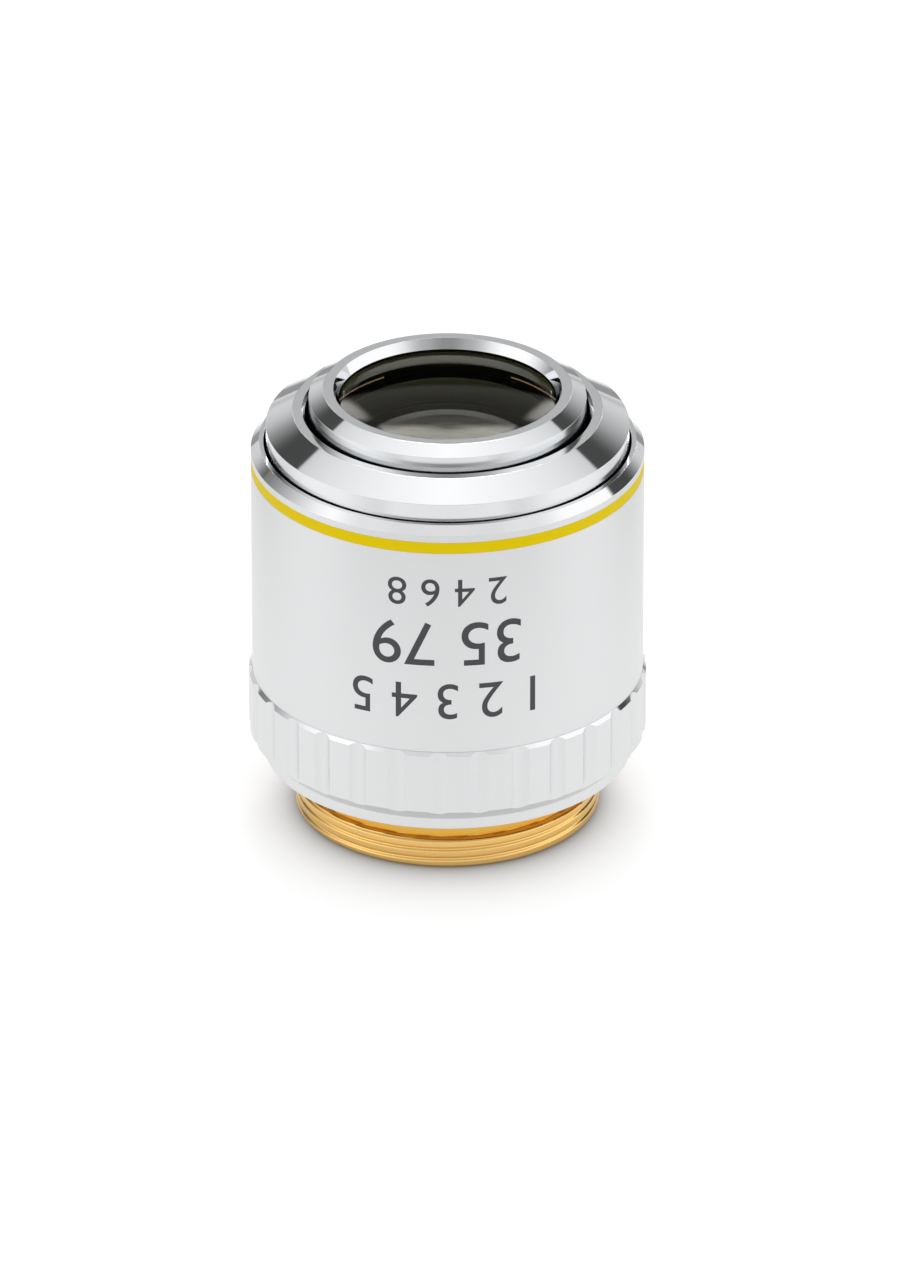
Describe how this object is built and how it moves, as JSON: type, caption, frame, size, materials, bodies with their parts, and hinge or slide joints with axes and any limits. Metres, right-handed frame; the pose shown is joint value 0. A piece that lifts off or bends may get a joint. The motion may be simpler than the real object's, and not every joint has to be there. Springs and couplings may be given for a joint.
{
  "type": "microscope objective",
  "caption": "Long-working-distance microscope objective: satin barrel with grooved grip ring, polished nose with large front lens, colour band and brass screw thread.",
  "frame": {"origin": "centre of the screw thread's end face, which is also the surface that the objective stands on", "axes": "+Z along the optical axis from the thread to the nose; -Y is the front, where the barrel's numerals are; the body is round about Z"},
  "size_m": [0.0264, 0.0264, 0.0305],
  "materials": {
    "thread_brass": "turned",
    "satin_plate": "satin",
    "polished_plate": "polished",
    "band_enamel": "gloss",
    "optical_glass": "coated",
    "black_anodised": "matt black",
    "tube_brass": "blackened",
    "fastener_steel": "bright"
  },
  "bodies": {
    "root": {"thread_mount": "thread_brass", "grip_ring": "satin_plate", "barrel": "satin_plate", "colour_band": "band_enamel", "front_sleeve": "polished_plate", "front_cell": "polished_plate", "front_lens": "optical_glass", "front_spacer": "black_anodised", "second_lens": "optical_glass", "front_retainer": "black_anodised", "third_cell": "black_anodised", "third_flint": "optical_glass", "third_crown": "optical_glass", "third_retainer": "black_anodised", "stack_spacer": "black_anodised", "fourth_cell": "black_anodised", "fourth_flint": "optical_glass", "fourth_crown": "optical_glass", "fourth_retainer": "black_anodised", "aperture_stop": "black_anodised", "rear_cell": "black_anodised", "rear_flint": "optical_glass", "rear_crown": "optical_glass", "rear_retainer": "black_anodised", "inner_tube": "tube_brass", "centring_screws": "fastener_steel", "parfocal_shim": "fastener_steel", "locating_ring": "tube_brass"}
  },
  "joints": []
}
